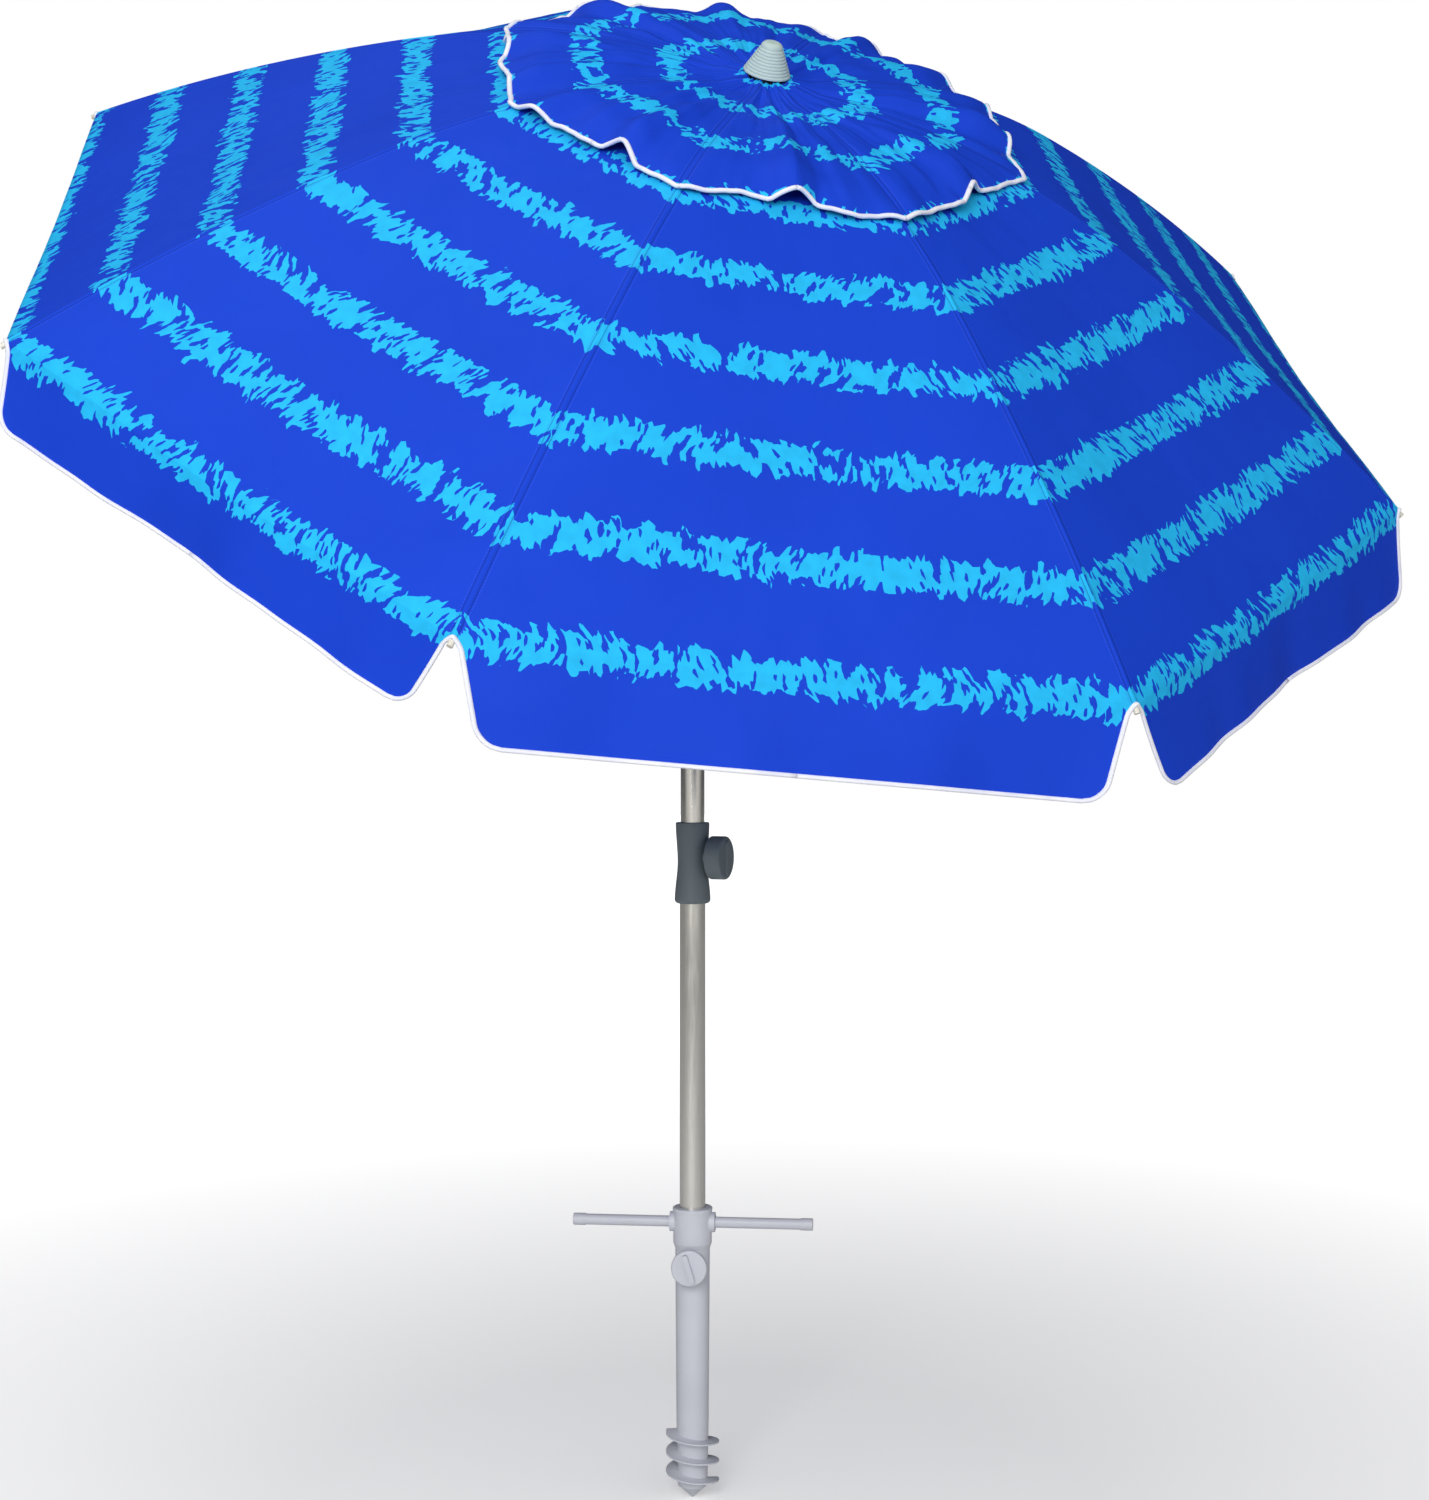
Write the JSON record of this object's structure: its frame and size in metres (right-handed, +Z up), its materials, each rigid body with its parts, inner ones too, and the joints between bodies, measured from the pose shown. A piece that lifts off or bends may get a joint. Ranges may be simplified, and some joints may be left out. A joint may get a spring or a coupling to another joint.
{
  "type": "beach umbrella",
  "caption": "Beach umbrella with a vented eight-rib canopy, tilting two-part pole, height clamp and screw-in sand anchor with turning handles.",
  "frame": {"origin": "point of the sand anchor's auger, on the pole's axis", "axes": "+Z up along the pole, the canopy leans towards -Y about a tilt hinge along X"},
  "size_m": [1.9154, 1.54, 2.3272],
  "materials": {
    "canopy_fabric": "matte",
    "pole_metal": "satin",
    "white_plastic": "satin",
    "grey_plastic": "satin",
    "finial_plastic": "satin",
    "frame_plastic": "satin",
    "bead_plastic": "gloss",
    "rib_rod": "satin",
    "zinc": "satin"
  },
  "bodies": {
    "sand_anchor": {"anchor_body": "white_plastic", "auger": "white_plastic", "handle_left": "white_plastic", "handle_right": "white_plastic", "handle_caps": "white_plastic", "anchor_nut": "zinc"},
    "anchor_clamp": {"anchor_knob": "white_plastic", "anchor_screw": "zinc"},
    "lower_pole": {"lower_tube": "pole_metal", "lower_tube_plug": "frame_plastic", "height_collar": "grey_plastic", "collar_nut": "zinc"},
    "collar_clamp": {"collar_knob": "grey_plastic", "collar_screw": "zinc"},
    "upper_pole": {"upper_tube": "pole_metal", "upper_tube_guide": "frame_plastic", "tilt_fork": "frame_plastic", "tilt_pin": "zinc", "tilt_spring": "zinc"},
    "button": {"tilt_button": "frame_plastic"},
    "canopy_mast": {"tilt_tongue": "frame_plastic", "top_tube": "pole_metal", "crown_hub": "frame_plastic", "crown_pins": "zinc", "finial": "finial_plastic"},
    "runner": {"runner": "frame_plastic"},
    "rib_1": {"rib_1": "rib_rod", "rib_fittings_1": "bead_plastic", "canopy_1": "canopy_fabric"},
    "strut_1": {"strut_1": "rib_rod"},
    "rib_2": {"rib_2": "rib_rod", "rib_fittings_2": "bead_plastic", "canopy_2": "canopy_fabric"},
    "strut_2": {"strut_2": "rib_rod"},
    "rib_3": {"rib_3": "rib_rod", "rib_fittings_3": "bead_plastic", "canopy_3": "canopy_fabric"},
    "strut_3": {"strut_3": "rib_rod"},
    "rib_4": {"rib_4": "rib_rod", "rib_fittings_4": "bead_plastic", "canopy_4": "canopy_fabric"},
    "strut_4": {"strut_4": "rib_rod"},
    "rib_5": {"rib_5": "rib_rod", "rib_fittings_5": "bead_plastic", "canopy_5": "canopy_fabric"},
    "strut_5": {"strut_5": "rib_rod"},
    "rib_6": {"rib_6": "rib_rod", "rib_fittings_6": "bead_plastic", "canopy_6": "canopy_fabric"},
    "strut_6": {"strut_6": "rib_rod"},
    "rib_7": {"rib_7": "rib_rod", "rib_fittings_7": "bead_plastic", "canopy_7": "canopy_fabric"},
    "strut_7": {"strut_7": "rib_rod"},
    "rib_8": {"rib_8": "rib_rod", "rib_fittings_8": "bead_plastic", "canopy_8": "canopy_fabric"},
    "strut_8": {"strut_8": "rib_rod"}
  },
  "joints": [
    {"name": "anchor_knob", "type": "hinge", "parent": "sand_anchor", "child": "anchor_clamp", "pos_m": [-0.01595, -0.03668, 0.35], "axis": [-0.3987, -0.9171, 0], "range_deg": [0, 360]},
    {"name": "pole_turn", "type": "hinge", "parent": "sand_anchor", "child": "lower_pole", "pos_m": [0, 0, 0.3], "axis": [0, 0, 1], "continuous": true},
    {"name": "collar_knob", "type": "hinge", "parent": "lower_pole", "child": "collar_clamp", "pos_m": [0.03472, -0.02862, 0.948], "axis": [0.7716, -0.6361, 0], "range_deg": [0, 360]},
    {"name": "height_slide", "type": "slide", "parent": "lower_pole", "child": "upper_pole", "axis": [0, 0, 1], "range_m": [-0.42, 0.2]},
    {"name": "tilt_button", "type": "slide", "parent": "upper_pole", "child": "button", "axis": [0, -1, 0], "range_m": [0, 0.004], "stiffness_N_per_m": 900, "springref_m": -0.003, "deforming": ["tilt_spring"]},
    {"name": "tilt", "type": "hinge", "parent": "upper_pole", "child": "canopy_mast", "pos_m": [0, 0, 1.571], "axis": [1, 0, 0], "range_deg": [-38, 0]},
    {"name": "runner_slide", "type": "slide", "parent": "canopy_mast", "child": "runner", "axis": [0, -0.6157, 0.788], "range_m": [-0.30366, 0]},
    {"name": "rib_1_hinge", "type": "hinge", "parent": "canopy_mast", "child": "rib_1", "pos_m": [0.00692, -0.34667, 1.97064], "axis": [-0.969, -0.1946, -0.1521], "range_deg": [-70.01, 0.01], "deforming": ["canopy_1"]},
    {"name": "strut_1_hinge", "type": "hinge", "parent": "rib_1", "child": "strut_1", "pos_m": [0.06101, -0.50432, 1.82773], "axis": [-0.969, -0.1946, -0.1521], "range_deg": [-0.01, 112.34]},
    {"name": "rib_2_hinge", "type": "hinge", "parent": "canopy_mast", "child": "rib_2", "pos_m": [0.02408, -0.33655, 1.97854], "axis": [-0.5105, -0.6776, -0.5294], "range_deg": [-70.01, 0.01], "deforming": ["canopy_2"]},
    {"name": "strut_2_hinge", "type": "hinge", "parent": "rib_2", "child": "strut_2", "pos_m": [0.21238, -0.41508, 1.89745], "axis": [-0.5105, -0.6776, -0.5294], "range_deg": [-0.01, 112.34]},
    {"name": "rib_3_hinge", "type": "hinge", "parent": "canopy_mast", "child": "rib_3", "pos_m": [0.02713, -0.31983, 1.9916], "axis": [0.247, -0.7636, -0.5966], "range_deg": [-70.01, 0.01], "deforming": ["canopy_3"]},
    {"name": "strut_3_hinge", "type": "hinge", "parent": "rib_3", "child": "strut_3", "pos_m": [0.23935, -0.26763, 2.01265], "axis": [0.247, -0.7636, -0.5966], "range_deg": [-0.01, 112.34]},
    {"name": "rib_4_hinge", "type": "hinge", "parent": "canopy_mast", "child": "rib_4", "pos_m": [0.0143, -0.30631, 2.00217], "axis": [0.8599, -0.4023, -0.3143], "range_deg": [-70.01, 0.01], "deforming": ["canopy_4"]},
    {"name": "strut_4_hinge", "type": "hinge", "parent": "rib_4", "child": "strut_4", "pos_m": [0.1261, -0.14835, 2.10585], "axis": [0.8599, -0.4023, -0.3143], "range_deg": [-0.01, 112.34]},
    {"name": "rib_5_hinge", "type": "hinge", "parent": "canopy_mast", "child": "rib_5", "pos_m": [-0.00692, -0.3039, 2.00405], "axis": [0.969, 0.1946, 0.1521], "range_deg": [-70.01, 0.01], "deforming": ["canopy_5"]},
    {"name": "strut_5_hinge", "type": "hinge", "parent": "rib_5", "child": "strut_5", "pos_m": [-0.06101, -0.1271, 2.12245], "axis": [0.969, 0.1946, 0.1521], "range_deg": [-0.01, 112.34]},
    {"name": "rib_6_hinge", "type": "hinge", "parent": "canopy_mast", "child": "rib_6", "pos_m": [-0.02408, -0.31402, 1.99615], "axis": [0.5105, 0.6776, 0.5294], "range_deg": [-70.01, 0.01], "deforming": ["canopy_6"]},
    {"name": "strut_6_hinge", "type": "hinge", "parent": "rib_6", "child": "strut_6", "pos_m": [-0.21238, -0.21634, 2.05273], "axis": [0.5105, 0.6776, 0.5294], "range_deg": [-0.01, 112.34]},
    {"name": "rib_7_hinge", "type": "hinge", "parent": "canopy_mast", "child": "rib_7", "pos_m": [-0.02713, -0.33073, 1.98309], "axis": [-0.247, 0.7636, 0.5966], "range_deg": [-70.01, 0.01], "deforming": ["canopy_7"]},
    {"name": "strut_7_hinge", "type": "hinge", "parent": "rib_7", "child": "strut_7", "pos_m": [-0.23935, -0.36379, 1.93753], "axis": [-0.247, 0.7636, 0.5966], "range_deg": [-0.01, 112.34]},
    {"name": "rib_8_hinge", "type": "hinge", "parent": "canopy_mast", "child": "rib_8", "pos_m": [-0.0143, -0.34426, 1.97252], "axis": [-0.8599, 0.4023, 0.3143], "range_deg": [-70.01, 0.01], "deforming": ["canopy_8"]},
    {"name": "strut_8_hinge", "type": "hinge", "parent": "rib_8", "child": "strut_8", "pos_m": [-0.1261, -0.48307, 1.84433], "axis": [-0.8599, 0.4023, 0.3143], "range_deg": [-0.01, 112.34]}
  ],
  "couplings": [
    {"joint": "rib_1_hinge", "follows": "runner_slide", "rad_per_m": 4.0234},
    {"joint": "strut_1_hinge", "follows": "runner_slide", "rad_per_m": -6.4557},
    {"joint": "rib_2_hinge", "follows": "runner_slide", "rad_per_m": 4.0234},
    {"joint": "strut_2_hinge", "follows": "runner_slide", "rad_per_m": -6.4557},
    {"joint": "rib_3_hinge", "follows": "runner_slide", "rad_per_m": 4.0234},
    {"joint": "strut_3_hinge", "follows": "runner_slide", "rad_per_m": -6.4557},
    {"joint": "rib_4_hinge", "follows": "runner_slide", "rad_per_m": 4.0234},
    {"joint": "strut_4_hinge", "follows": "runner_slide", "rad_per_m": -6.4557},
    {"joint": "rib_5_hinge", "follows": "runner_slide", "rad_per_m": 4.0234},
    {"joint": "strut_5_hinge", "follows": "runner_slide", "rad_per_m": -6.4557},
    {"joint": "rib_6_hinge", "follows": "runner_slide", "rad_per_m": 4.0234},
    {"joint": "strut_6_hinge", "follows": "runner_slide", "rad_per_m": -6.4557},
    {"joint": "rib_7_hinge", "follows": "runner_slide", "rad_per_m": 4.0234},
    {"joint": "strut_7_hinge", "follows": "runner_slide", "rad_per_m": -6.4557},
    {"joint": "rib_8_hinge", "follows": "runner_slide", "rad_per_m": 4.0234},
    {"joint": "strut_8_hinge", "follows": "runner_slide", "rad_per_m": -6.4557}
  ]
}
